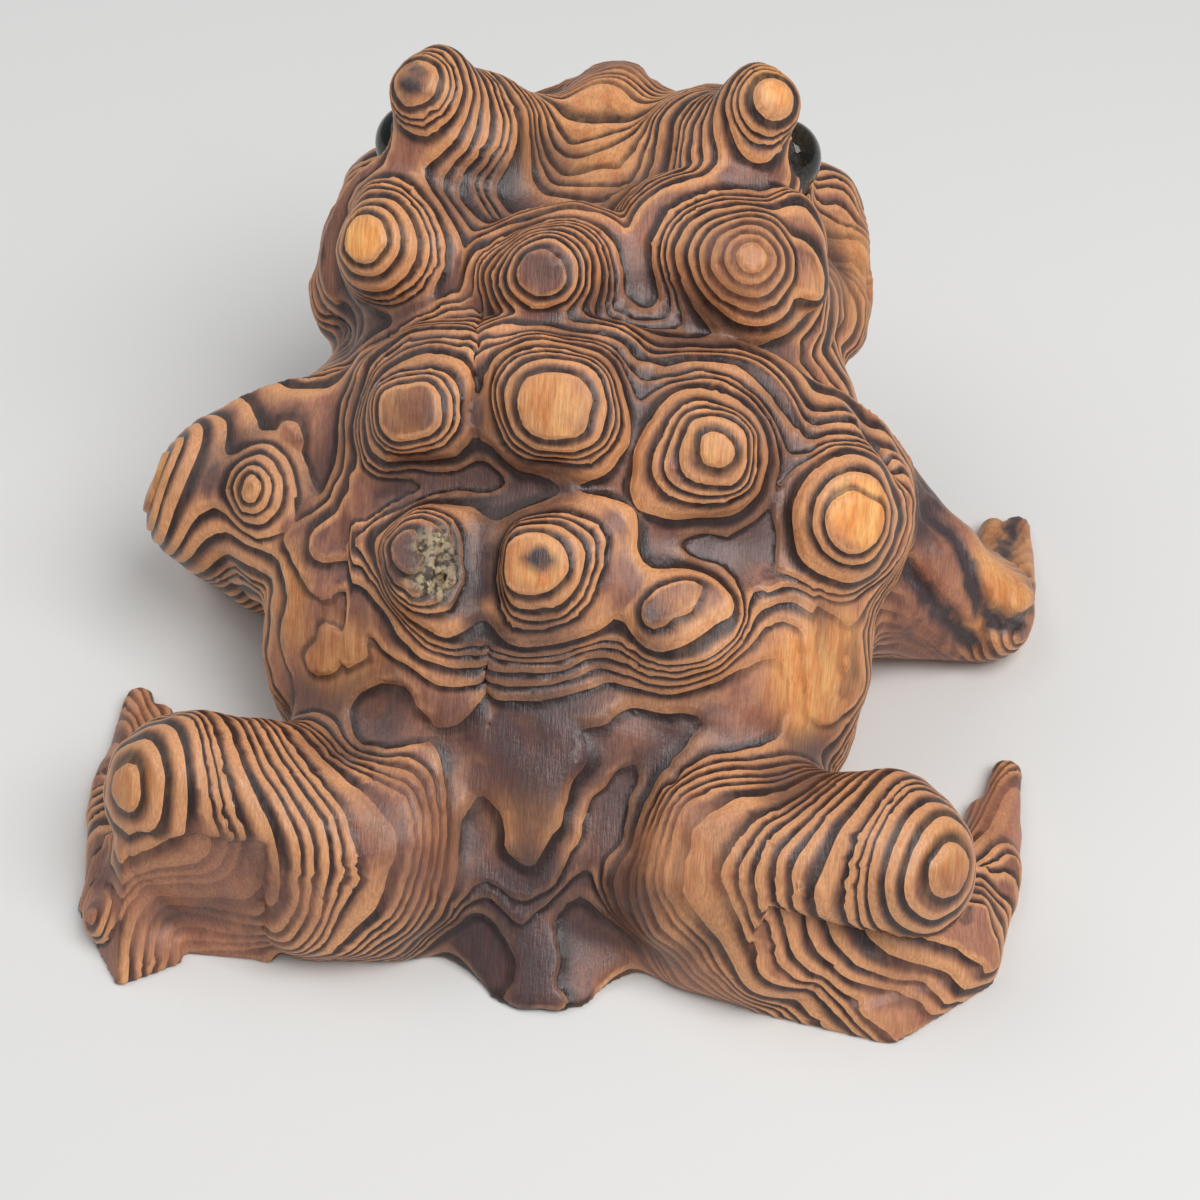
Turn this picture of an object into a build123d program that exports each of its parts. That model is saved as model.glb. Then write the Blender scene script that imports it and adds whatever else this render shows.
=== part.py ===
"""A squatting toad carved from one block of cedar, with two glass eyes set in dark pitch.

Frame: +X is the toad's right, +Y is forward to the snout, +Z is up.
The origin lies on the ground, under the middle of the belly.  All sizes are millimetres.
"""

import os
from math import copysign, cos, pi, sin

from build123d import *

# Overall sizes of the carving
BODY_LENGTH = 101.0  # from the rump to the tip of the snout
FLANK_WIDTH = 65.0  # across the widest part of the trunk
NAPE_HEIGHT = 48.0  # from the ground to the nape of the neck
STANCE_WIDTH = 98.0  # across the hands and feet
REAR_SHARE = 0.48  # part of the length that lies behind the origin

# Trunk and head, one loft from the rump to the snout
SECTION_POINTS = 16  # points on each cross-section's outline
BACK_ROUNDNESS = 0.86  # exponent of the back's outline, 1 is an ellipse
BELLY_ROUNDNESS = 0.62  # exponent of the belly's outline, smaller is flatter
# Station along the length, half width over the flank width, then the heights of the
# underside, the widest line and the back over the nape height
TRUNK_SHARES = (
    (0.002, 0.050, -0.04, 0.005, 0.040),
    (0.030, 0.150, -0.04, 0.030, 0.125),
    (0.100, 0.265, -0.04, 0.090, 0.265),
    (0.205, 0.390, -0.04, 0.160, 0.470),
    (0.305, 0.475, -0.04, 0.220, 0.645),
    (0.400, 0.495, -0.04, 0.270, 0.815),
    (0.520, 0.455, -0.04, 0.380, 0.945),
    (0.640, 0.430, 0.060, 0.500, 0.995),
    (0.755, 0.455, 0.230, 0.640, 0.975),
    (0.850, 0.375, 0.390, 0.670, 0.945),
    (0.930, 0.245, 0.520, 0.690, 0.900),
    (0.980, 0.120, 0.610, 0.715, 0.845),
    (0.998, 0.030, 0.690, 0.745, 0.790),
)

# Limbs, straight bars from a root in the trunk to a round end
HIP_RADIUS = 11.6
KNEE_RADIUS = 8.8
SHANK_RADIUS = 6.5
HEEL_RADIUS = 4.9
FOOT_RADIUS = 4.4
BALL_RADIUS = 3.3
SHOULDER_RADIUS = 10.5
ELBOW_RADIUS = 9.2
FOREARM_RADIUS = 8.0
WRIST_RADIUS = 5.2
# Root and then tip: across the stance, station along the length, height over the nape height
LEFT_THIGH_SHARES = (-0.175, 0.140, 0.19, -0.452, 0.145, 0.27)
RIGHT_THIGH_SHARES = (0.175, 0.130, 0.19, 0.438, 0.105, 0.26)
LEFT_SHANK_SHARES = (-0.08, 0.105, 0.06, -0.455, 0.045, 0.05)
RIGHT_SHANK_SHARES = (0.08, 0.100, 0.06, 0.425, 0.025, 0.05)
LEFT_FOOT_SHARES = (-0.41, 0.035, 0.05, -0.480, 0.270, 0.03)
RIGHT_FOOT_SHARES = (0.36, 0.020, 0.05, 0.465, 0.210, 0.03)
LEFT_ARM_SHARES = (-0.16, 0.545, 0.50, -0.470, 0.495, 0.30)
RIGHT_ARM_SHARES = (0.16, 0.550, 0.52, 0.505, 0.515, 0.05)
LEFT_FOREARM_SHARES = (-0.34, 0.500, 0.22, -0.450, 0.620, 0.03)
RIGHT_FOREARM_SHARES = (0.31, 0.500, 0.19, 0.505, 0.520, 0.06)

# Fingers and toes, bars cut to a blunt point
DIGIT_RADIUS = 3.2
DIGIT_TIP_RADIUS = 1.0
# Root and tip as for the limbs: left toes, right toes, left fingers, right fingers
DIGIT_SHARES = (
    (-0.47, 0.19, 0.03, -0.490, 0.375, 0.02),
    (-0.46, 0.20, 0.03, -0.435, 0.360, 0.01),
    (-0.45, 0.18, 0.03, -0.385, 0.310, 0.01),
    (0.45, 0.15, 0.03, 0.482, 0.325, 0.02),
    (0.44, 0.14, 0.03, 0.482, 0.250, 0.01),
    (0.44, 0.15, 0.03, 0.430, 0.310, 0.01),
    (-0.43, 0.58, 0.04, -0.455, 0.680, 0.01),
    (-0.42, 0.59, 0.04, -0.425, 0.715, 0.01),
    (-0.41, 0.58, 0.04, -0.385, 0.720, 0.01),
    (-0.40, 0.57, 0.04, -0.340, 0.690, 0.01),
    (0.478, 0.53, 0.05, 0.512, 0.700, 0.03),
    (0.465, 0.54, 0.05, 0.482, 0.685, 0.02),
    (0.450, 0.54, 0.04, 0.435, 0.640, 0.01),
    (0.430, 0.53, 0.04, 0.380, 0.610, 0.01),
)

# Mounds stepped by the growth rings: warts on the back, brow horns over the eyes
RING_PITCH = 1.5  # height of one growth ring
RING_LEDGE_SHARE = 0.55  # ledge of a ring over its whole advance towards the top
MOUND_SINK = 3.0  # how deep a mound is rooted below the surface that it stands on
WART_RADIUS = 7.0
WART_HEIGHT = 5.0
WART_BULGE = 1.8  # 1 climbs as a cone, more swells to a dome
WART_CROWN_SHARE = 0.50  # radius of the smooth crown over the wart's radius
CROWN_RISE_SHARE = 0.55  # rise of a crown over its own radius
# Across the flank width, station along the length, radius and height over those of a wart
WART_SHARES = (
    (-0.310, 0.605, 1.00, 1.15),
    (-0.060, 0.545, 0.80, 0.65),
    (0.235, 0.570, 1.10, 1.20),
    (-0.245, 0.420, 0.80, 0.80),
    (-0.040, 0.413, 1.00, 1.00),
    (0.212, 0.398, 0.95, 0.90),
    (0.405, 0.407, 0.90, 0.90),
    (-0.195, 0.300, 0.85, 0.80),
    (-0.040, 0.290, 0.95, 0.90),
    (0.185, 0.275, 0.80, 0.55),
)
ARM_WART_SHARES = (-0.510, 0.450, 0.70, 0.60)  # as above, on the left upper arm
HORN_RADIUS = 9.8
HORN_HEIGHT = 16.0
HORN_BULGE = 1.15
HORN_CROWN_SHARE = 0.25
HORN_SHARES = (0.215, 0.780, 0.86)  # foot: across the flank width, station, height over the nape's
HORN_LEAN = 16.0  # degrees that a brow horn leans outward

# Eyes, glass domes bedded in pitch in the side of each eye mound
EYE_MOUND_RADIUS = 9.0
EYE_MOUND_SHARES = (0.215, 0.775, 0.89)  # centre: across, station and height as for a brow horn
EYE_AXIS = (0.93, 0.15, 0.33)  # the way that the right eye looks
EYE_SINK = 2.8  # depth of the socket's floor below the top of the eye mound
EYE_RADIUS = 3.8
EYE_DOME = 2.4  # rise of the glass above its straight edge
EYE_EDGE = 0.7  # height of the glass's straight edge
PUPIL_RADIUS = 1.5
PAINT_THICKNESS = 0.3
BED_THICKNESS = 0.9
BED_WALL = 0.9
BED_SHOULDER = 0.8  # height of the bed's outer rim above its floor
EYE_FIT = 0.05  # clearance round the glass and round the bed

# Mouth and nostrils
MOUTH_SHARE = 0.67  # height over the nape height
MOUTH_CORNER_SHARE = 0.72  # station of the corners of the mouth
MOUTH_DEPTH = 1.4
MOUTH_GAPE = 0.9
NOSTRIL_RADIUS = 0.9
NOSTRIL_SHARES = (0.050, 0.955)  # across the flank width, station


def station_y(share):
    """Distance of a station along the toad from the origin."""
    return BODY_LENGTH * (share - REAR_SHARE)


def power_wave(value, exponent):
    """A sine or cosine drawn out to a squarer or a sharper wave."""
    return copysign(abs(value) ** exponent, value)


def bar(shares, root_radius, tip_radius, round_root=False, round_tip=True):
    """A straight bar from its root to its tip, each end either domed or cut flat."""
    root = Vector(STANCE_WIDTH * shares[0], station_y(shares[1]), NAPE_HEIGHT * shares[2])
    tip = Vector(STANCE_WIDTH * shares[3], station_y(shares[4]), NAPE_HEIGHT * shares[5])
    along = (tip - root).normalized()
    sideways = Vector(0, 0, 1).cross(along).normalized()
    length = (tip - root).length
    start = -root_radius if round_root else 0
    neck = length - tip_radius if round_tip else length
    with BuildPart() as made:
        with BuildSketch(Plane(origin=root, x_dir=along, z_dir=along.cross(sideways))):
            with BuildLine():
                Line((length, 0), (start, 0))
                if round_root:
                    TangentArc((start, 0), (0, root_radius), tangent=(0, 1))
                else:
                    Line((start, 0), (0, root_radius))
                Line((0, root_radius), (neck, tip_radius))
                if round_tip:
                    TangentArc((length, 0), (neck, tip_radius), tangent=(0, 1))
                else:
                    Line((neck, tip_radius), (length, 0))
            make_face()
        revolve(axis=Axis(root, along))
    return made.part


def mound(foot, way, radius, height, bulge, crown_share):
    """A round mound whose side climbs in growth-ring steps to a domed crown."""
    side = Vector(0, 1, 0).cross(way).normalized()
    crown = radius * crown_share
    shoulder = height - crown * CROWN_RISE_SHARE
    rings = max(1, round(shoulder / RING_PITCH))
    edge = [(0, height), (0, -MOUND_SINK), (radius, -MOUND_SINK), (radius, 0)]
    for ring in range(1, rings + 1):
        inner = radius - (radius - crown) * (ring / rings) ** bulge
        ledge = (edge[-1][0] - inner) * RING_LEDGE_SHARE
        edge.append((inner + ledge, shoulder * ring / rings))
        edge.append((inner, shoulder * ring / rings))
    with BuildPart() as made:
        with BuildSketch(Plane(origin=foot, x_dir=side, z_dir=side.cross(way))):
            with BuildLine():
                Polyline(*edge)
                TangentArc(edge[0], edge[-1], tangent=(1, 0))
            make_face()
        revolve(axis=Axis(foot, way))
    return made.part


def seat_on(surface, across, along):
    """The top point of a surface over a spot on the ground, and the way that it faces there."""
    hits = surface.find_intersection_points(Axis((across, along, 0), (0, 0, 1)))
    return max(hits, key=lambda hit: hit[0].Z)


# Trunk and head
outline_steps = [step / SECTION_POINTS for step in range(SECTION_POINTS + 1)]
with BuildPart() as trunk:
    for station, half_width, underside, widest, back in TRUNK_SHARES:
        section_plane = Plane(origin=(0, station_y(station), 0), x_dir=(1, 0, 0), z_dir=(0, -1, 0))
        outline = []
        for step in range(SECTION_POINTS):
            angle = 2 * pi * step / SECTION_POINTS - pi / 2
            rise = back - widest if sin(angle) > 0 else widest - underside
            roundness = BACK_ROUNDNESS if sin(angle) > 0 else BELLY_ROUNDNESS
            across = FLANK_WIDTH * half_width * power_wave(cos(angle), roundness)
            up = NAPE_HEIGHT * (widest + rise * power_wave(sin(angle), roundness))
            outline.append((across, up))
        with BuildSketch(section_plane):
            with BuildLine():
                add(Edge.make_spline(outline, periodic=True, parameters=outline_steps))
            make_face()
    loft()

# Limbs and digits
left_arm = bar(LEFT_ARM_SHARES, SHOULDER_RADIUS, ELBOW_RADIUS)
limbs = [
    bar(LEFT_THIGH_SHARES, HIP_RADIUS, KNEE_RADIUS, round_root=True),
    bar(RIGHT_THIGH_SHARES, HIP_RADIUS, KNEE_RADIUS, round_root=True),
    bar(LEFT_SHANK_SHARES, SHANK_RADIUS, HEEL_RADIUS),
    bar(RIGHT_SHANK_SHARES, SHANK_RADIUS, HEEL_RADIUS),
    bar(LEFT_FOOT_SHARES, FOOT_RADIUS, BALL_RADIUS),
    bar(RIGHT_FOOT_SHARES, FOOT_RADIUS, BALL_RADIUS),
    left_arm,
    bar(RIGHT_ARM_SHARES, SHOULDER_RADIUS, WRIST_RADIUS),
    bar(LEFT_FOREARM_SHARES, FOREARM_RADIUS, WRIST_RADIUS),
    bar(RIGHT_FOREARM_SHARES, FOREARM_RADIUS, WRIST_RADIUS),
]
digits = [bar(shares, DIGIT_RADIUS, DIGIT_TIP_RADIUS, round_tip=False) for shares in DIGIT_SHARES]

# Warts and brow horns
mounds = []
for across_share, station, radius_share, height_share in WART_SHARES:
    seat, facing = seat_on(trunk.part, FLANK_WIDTH * across_share, station_y(station))
    wart_radius = WART_RADIUS * radius_share
    wart_height = WART_HEIGHT * height_share
    mounds.append(mound(seat, facing, wart_radius, wart_height, WART_BULGE, WART_CROWN_SHARE))
across_share, station, radius_share, height_share = ARM_WART_SHARES
seat, facing = seat_on(left_arm, FLANK_WIDTH * across_share, station_y(station))
wart_radius = WART_RADIUS * radius_share
wart_height = WART_HEIGHT * height_share
mounds.append(mound(seat, facing, wart_radius, wart_height, WART_BULGE, WART_CROWN_SHARE))
for side in (-1, 1):
    horn_across = side * FLANK_WIDTH * HORN_SHARES[0]
    horn_foot = Vector(horn_across, station_y(HORN_SHARES[1]), NAPE_HEIGHT * HORN_SHARES[2])
    horn_way = Vector(0, 0, 1).rotate(Axis.Y, side * HORN_LEAN)
    mounds.append(mound(horn_foot, horn_way, HORN_RADIUS, HORN_HEIGHT, HORN_BULGE, HORN_CROWN_SHARE))

# Eye places
eye_mound_centre = Vector(
    FLANK_WIDTH * EYE_MOUND_SHARES[0], station_y(EYE_MOUND_SHARES[1]), NAPE_HEIGHT * EYE_MOUND_SHARES[2]
)
eye_way = Vector(*EYE_AXIS).normalized()
socket_floor = eye_mound_centre + eye_way * (EYE_MOUND_RADIUS - EYE_SINK)
eye_side = Vector(0, 0, 1).cross(eye_way).normalized()
eye_profile = Plane(origin=socket_floor, x_dir=eye_side, z_dir=eye_side.cross(eye_way))
eye_centre_line = Axis(socket_floor, eye_way)
bed_inner = EYE_RADIUS + EYE_FIT
bed_outer = bed_inner + BED_WALL
socket_radius = bed_outer + EYE_FIT
paint_top = BED_THICKNESS + PAINT_THICKNESS
edge_top = paint_top + EYE_EDGE
dome_top = edge_top + EYE_DOME

with BuildPart() as socket:
    with BuildSketch(eye_profile):
        with BuildLine():
            Polyline(
                (0, 0),
                (socket_radius, 0),
                (socket_radius, EYE_MOUND_RADIUS),
                (0, EYE_MOUND_RADIUS),
                close=True,
            )
        make_face()
    revolve(axis=eye_centre_line)

# Mouth, a slit of even depth round the front of the head
with BuildPart() as mouth:
    with Locations((0, station_y(MOUTH_CORNER_SHARE), NAPE_HEIGHT * MOUTH_SHARE)):
        Box(FLANK_WIDTH, BODY_LENGTH, MOUTH_GAPE, align=(Align.CENTER, Align.MIN, Align.CENTER))
    inner_head = scale(
        trunk.part,
        by=(1 - 2 * MOUTH_DEPTH / FLANK_WIDTH, 1 - MOUTH_DEPTH / station_y(1), 1),
        mode=Mode.PRIVATE,
    )
    add(inner_head, mode=Mode.SUBTRACT)

# The carving, one block of wood cut flat where it stands
with BuildPart() as carved_body:
    add(trunk.part)
    add(limbs)
    add(digits)
    with Locations(eye_mound_centre, (-eye_mound_centre.X, eye_mound_centre.Y, eye_mound_centre.Z)):
        Sphere(EYE_MOUND_RADIUS)
    add(mounds)
    add(socket.part, mode=Mode.SUBTRACT)
    mirror(socket.part, about=Plane.YZ, mode=Mode.SUBTRACT)
    add(mouth.part, mode=Mode.SUBTRACT)
    for side in (-1, 1):
        nostril_across = side * FLANK_WIDTH * NOSTRIL_SHARES[0]
        nostril, _ = seat_on(trunk.part, nostril_across, station_y(NOSTRIL_SHARES[1]))
        with Locations(nostril):
            Sphere(NOSTRIL_RADIUS, mode=Mode.SUBTRACT)
    split(bisect_by=Plane.XY, keep=Keep.TOP)

# Eyes: a pitch bed in each socket, the painted iris and pupil on it, and the glass on top
with BuildPart() as right_eye_bed:
    with BuildSketch(eye_profile):
        with BuildLine():
            Polyline(
                (0, 0),
                (bed_outer, 0),
                (bed_outer, BED_SHOULDER),
                (bed_inner, edge_top),
                (bed_inner, BED_THICKNESS),
                (0, BED_THICKNESS),
                close=True,
            )
        make_face()
    revolve(axis=eye_centre_line)

with BuildPart() as right_eye_iris:
    with BuildSketch(eye_profile):
        with BuildLine():
            Polyline(
                (PUPIL_RADIUS, BED_THICKNESS),
                (EYE_RADIUS, BED_THICKNESS),
                (EYE_RADIUS, paint_top),
                (PUPIL_RADIUS, paint_top),
                close=True,
            )
        make_face()
    revolve(axis=eye_centre_line)

with BuildPart() as right_eye_pupil:
    with BuildSketch(eye_profile):
        with BuildLine():
            Polyline(
                (0, BED_THICKNESS),
                (PUPIL_RADIUS, BED_THICKNESS),
                (PUPIL_RADIUS, paint_top),
                (0, paint_top),
                close=True,
            )
        make_face()
    revolve(axis=eye_centre_line)

with BuildPart() as right_eye_lens:
    with BuildSketch(eye_profile):
        with BuildLine():
            Polyline((0, dome_top), (0, paint_top), (EYE_RADIUS, paint_top), (EYE_RADIUS, edge_top))
            TangentArc((0, dome_top), (EYE_RADIUS, edge_top), tangent=(1, 0))
        make_face()
    revolve(axis=eye_centre_line)

with BuildPart() as left_eye_bed:
    mirror(right_eye_bed.part, about=Plane.YZ)
with BuildPart() as left_eye_iris:
    mirror(right_eye_iris.part, about=Plane.YZ)
with BuildPart() as left_eye_pupil:
    mirror(right_eye_pupil.part, about=Plane.YZ)
with BuildPart() as left_eye_lens:
    mirror(right_eye_lens.part, about=Plane.YZ)

carved_body.part.label = "carved_body"
right_eye_bed.part.label = "right_eye_bed"
right_eye_iris.part.label = "right_eye_iris"
right_eye_pupil.part.label = "right_eye_pupil"
right_eye_lens.part.label = "right_eye_lens"
left_eye_bed.part.label = "left_eye_bed"
left_eye_iris.part.label = "left_eye_iris"
left_eye_pupil.part.label = "left_eye_pupil"
left_eye_lens.part.label = "left_eye_lens"

os.makedirs("parts", exist_ok=True)
export_step(carved_body.part, "parts/carved_body.step")
export_step(right_eye_bed.part, "parts/right_eye_bed.step")
export_step(right_eye_iris.part, "parts/right_eye_iris.step")
export_step(right_eye_pupil.part, "parts/right_eye_pupil.step")
export_step(right_eye_lens.part, "parts/right_eye_lens.step")
export_step(left_eye_bed.part, "parts/left_eye_bed.step")
export_step(left_eye_iris.part, "parts/left_eye_iris.step")
export_step(left_eye_pupil.part, "parts/left_eye_pupil.step")
export_step(left_eye_lens.part, "parts/left_eye_lens.step")
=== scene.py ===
"""Visual model of a squatting toad carved from one block of ring-grained wood, with glass eyes set in pitch.

Shapes are given in millimetres in the shared frame: +X the toad's right, +Y to the snout, +Z up.
"""

import math

import bpy
import numpy as np
import openvdb
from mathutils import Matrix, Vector


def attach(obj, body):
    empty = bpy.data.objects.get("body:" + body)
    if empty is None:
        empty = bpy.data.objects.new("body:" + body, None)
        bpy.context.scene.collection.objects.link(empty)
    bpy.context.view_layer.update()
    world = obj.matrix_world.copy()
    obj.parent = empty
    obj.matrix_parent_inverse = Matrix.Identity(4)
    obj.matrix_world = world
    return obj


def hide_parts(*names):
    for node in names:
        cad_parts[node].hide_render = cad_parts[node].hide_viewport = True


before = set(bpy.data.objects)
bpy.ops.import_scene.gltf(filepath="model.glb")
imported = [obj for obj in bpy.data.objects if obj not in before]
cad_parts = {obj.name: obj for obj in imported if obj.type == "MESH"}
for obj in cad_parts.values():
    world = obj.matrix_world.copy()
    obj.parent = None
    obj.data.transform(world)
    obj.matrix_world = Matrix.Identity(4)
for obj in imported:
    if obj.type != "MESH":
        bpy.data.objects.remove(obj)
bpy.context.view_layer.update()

MM = 0.001

# The block that the toad is carved from, as a grid of distances to its surface
CELL = 0.5
BLOCK_LOW = np.array((-53.0, -54.0, -2.7), dtype=np.float32)
BLOCK_HIGH = np.array((55.0, 56.0, 61.0), dtype=np.float32)
FAR = 6.0
FACE_TARGET = 82000

# Station, half width, underside, widest line and back of the trunk and head
TRUNK_ROWS = (
    (-49.4, 4.0, -1.9, 0.0, 0.7),
    (-45.5, 9.8, -1.9, 1.2, 3.4),
    (-38.4, 17.2, -1.9, 4.3, 10.9),
    (-27.8, 25.4, -1.9, 7.7, 20.6),
    (-17.7, 30.9, -1.9, 10.6, 27.2),
    (-8.1, 32.2, -1.9, 13.0, 34.8),
    (4.0, 29.6, -1.9, 18.2, 41.0),
    (16.2, 27.5, 2.9, 24.0, 44.2),
    (27.8, 27.5, 11.0, 30.7, 44.8),
    (37.4, 24.4, 18.7, 32.2, 44.4),
    (45.5, 15.9, 25.0, 33.1, 43.2),
    (50.5, 7.8, 29.3, 34.3, 40.6),
    (52.3, 2.0, 33.1, 35.8, 37.9),
)
BACK_ROUNDNESS = 0.86
BELLY_ROUNDNESS = 0.62
PROFILE_SOFTNESS = 1.8
PROFILE_CELLS = 12

# Limbs: root, tip, radius at each, and how far they melt into what they meet
LIMBS = (
    ((-17.2, -35.0, 6.5), (-35.8, -33.8, 11.9), 11.0, 8.6, 4.0),
    ((17.2, -35.8, 7.5), (33.0, -37.1, 11.8), 11.0, 8.6, 4.0),
    ((-23.0, -37.0, 4.5), (-13.0, -36.0, 4.5), 9.2, 8.5, 2.0),
    ((22.0, -39.5, 5.0), (10.0, -37.0, 4.5), 9.6, 8.5, 2.0),
    ((-43.0, -42.0, 2.4), (-46.2, -24.5, 1.6), 3.8, 3.3, 1.5),
    ((41.5, -41.0, 2.4), (44.4, -30.3, 1.6), 3.6, 3.3, 1.5),
    ((-15.7, 6.6, 24.0), (-37.8, 2.9, 16.8), 10.5, 9.2, 4.0),
    ((15.7, 7.1, 25.0), (44.9, 4.1, 5.5), 10.5, 5.4, 4.0),
    ((-33.3, 2.0, 10.6), (-42.0, 11.3, 3.0), 8.0, 5.2, 3.0),
    ((30.4, 2.0, 9.1), (44.5, 3.6, 4.0), 8.0, 5.2, 3.0),
)

# Chiselled lower legs and heels: the corners of each, which are filled out to flat faces
HEWN = (
    (
        (-41.0, -40.7, 13.8), (-27.0, -41.2, 15.2), (-27.0, -45.8, 0.0), (-38.0, -45.1, 0.0),
        (-27.0, -33.0, 12.0), (-42.0, -33.0, 10.0), (-27.0, -33.0, 0.0), (-44.0, -33.0, 0.0),
    ),
    (
        (-41.5, -40.0, 12.5), (-42.2, -49.8, 0.0), (-48.4, -40.5, 0.0), (-36.0, -46.4, 0.0),
        (-46.5, -34.0, 4.5), (-38.0, -36.0, 8.0), (-44.0, -33.0, 5.0), (-40.0, -36.0, 0.0),
    ),
    (
        (23.0, -43.8, 12.8), (43.0, -39.0, 7.0), (32.3, -47.9, 3.6), (44.4, -43.2, 3.5), (34.6, -51.0, 0.0),
        (44.6, -43.2, 0.0), (46.2, -36.0, 0.0), (46.0, -36.0, 4.0), (21.0, -48.2, 0.0), (21.0, -46.9, 6.0),
        (22.0, -34.0, 10.0), (44.0, -32.0, 6.0), (22.0, -34.0, 0.0), (45.5, -32.0, 0.0),
    ),
    (
        (42.5, 8.0, 0.0), (45.0, 6.5, 6.0), (51.2, 6.5, 0.0), (50.6, 6.5, 5.0), (50.2, 22.6, 2.0),
        (50.4, 23.0, 0.0), (44.4, 14.5, 0.0), (44.8, 14.5, 2.0), (51.8, 16.5, 0.0), (51.3, 16.0, 2.4),
        (47.8, 14.0, 5.0),
    ),
)
HEWN_BLEND = 0.5

# Chips cut out under each knee: box round the cut, three points on the face that is left, and the other
# planes that bound the cut, each a point and the way that it faces
CHIPS = (
    (
        ((-44, -53, -1), (-26, -38, 18)),
        ((-27.0, -41.2, 15.2), (-41.0, -40.7, 13.8), (-27.0, -45.8, 0.0)),
        (
            ((-27.0, -41.2, 15.4), (0.08, -0.35, -1.0)),
            ((-26.8, -44.0, 10.0), (-1.0, 0.1, 0.0)),
            ((-41.5, -40.0, 12.5), (1.0, 0.0, 0.44)),
        ),
    ),
    (
        ((20, -53, -1), (50, -36, 18)),
        ((23.0, -43.8, 12.8), (32.3, -47.9, 3.6), (44.4, -43.2, 3.5)),
        (
            ((23.0, -43.8, 13.4), (-0.25, -0.35, -1.0)),
            ((21.5, -44.8, 13.7), (0.95, 0.0, -0.3)),
            ((32.3, -47.9, 3.4), (-0.1, 0.2, 1.0)),
        ),
    ),
)
CHIP_BLEND = 0.4

# Toes and fingers: root and tip
DIGITS = (
    ((-46.0, -29.3, 1.4), (-47.2, -13.0, 1.0)),
    ((-45.0, -28.3, 1.4), (-44.6, -15.0, 0.6)),
    ((-44.0, -30.3, 1.4), (-41.0, -20.0, 0.6)),
    ((44.0, -33.3, 1.4), (47.0, -16.7, 1.0)),
    ((43.0, -34.3, 1.4), (46.6, -25.0, 0.6)),
    ((43.0, -33.3, 1.4), (44.2, -22.0, 0.6)),
    ((-42.0, 10.1, 1.9), (-44.4, 19.2, 0.6)),
    ((-41.2, 11.1, 1.9), (-41.7, 22.7, 0.6)),
    ((-40.2, 10.1, 1.9), (-37.9, 23.2, 0.6)),
    ((-39.2, 9.1, 1.9), (-33.8, 20.2, 0.6)),
    ((46.8, 5.0, 2.4), (50.0, 21.2, 1.4)),
    ((45.6, 6.0, 2.4), (47.1, 19.7, 1.0)),
    ((44.1, 6.0, 1.9), (42.7, 15.2, 0.6)),
    ((42.1, 5.0, 1.9), (37.7, 12.3, 0.6)),
)
DIGIT_ROOT = 3.2
DIGIT_TIP = 1.6
DIGIT_BLEND = 0.8

# Eye mound, brow horn and cheek, drawn for the right side, and the snout: root, tip, radius at each, and
# how far they melt into what they meet
HEAD_LUMPS = (
    ((14.0, 29.7, 42.7), (14.0, 29.9, 42.7), 9.0, 9.0, 3.0),
    ((12.0, 35.5, 39.5), (17.6, 28.2, 53.3), 8.0, 3.0, 4.0),
    ((17.6, 28.2, 53.3), (16.6, 30.8, 53.2), 3.0, 3.0, 2.0),
    ((17.0, 28.2, 52.0), (15.0, 25.6, 42.5), 3.2, 3.8, 3.0),
    ((23.0, 37.0, 31.5), (24.5, 23.0, 30.0), 6.8, 6.6, 1.6),
)
SNOUT_LUMP = ((0.5, 42.0, 41.0), (0.5, 47.5, 40.0), 4.5, 3.6, 3.0)
SNOUT_TIP = (0.0, 52.0, 38.0)
SNOUT_REACH = 5
SNOUT_BLUR = 1.0

# Warts: top, radius across, radius along, share of the radius that is a smooth crown, squareness,
# and how much further the wart trails on its rear side
WARTS = (
    ((1.5, -18.4, 30.7), 19.0, 5.0, 0.10, 2.2, 3.2),
    ((-22.6, 12.2, 46.6), 10.0, 10.5, 0.18, 2.0, 1.0),
    ((-3.6, 5.6, 48.7), 8.8, 8.4, 0.26, 2.0, 1.0),
    ((17.3, 8.2, 49.0), 11.2, 10.8, 0.08, 2.0, 1.0),
    ((-16.1, -8.0, 41.4), 9.6, 8.6, 0.24, 2.6, 1.1),
    ((-1.7, -9.2, 43.9), 10.0, 10.2, 0.30, 2.6, 1.0),
    ((14.8, -10.4, 40.7), 9.8, 10.2, 0.10, 2.6, 1.2),
    ((28.8, -10.2, 32.9), 8.8, 10.2, 0.30, 2.0, 1.2),
    ((-13.4, -20.0, 32.2), 7.4, 9.2, 0.30, 2.0, 1.3),
    ((-2.8, -20.8, 34.2), 9.4, 7.8, 0.26, 2.2, 1.0),
    ((12.7, -22.3, 28.6), 7.5, 6.5, 0.55, 2.0, 1.4),
    ((-34.0, -5.0, 26.2), 7.0, 8.5, 0.12, 2.0, 1.0),
)
WART_DOME = 0.25
WART_FOOT = 0.8
WART_BLEND = 1.6

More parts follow.
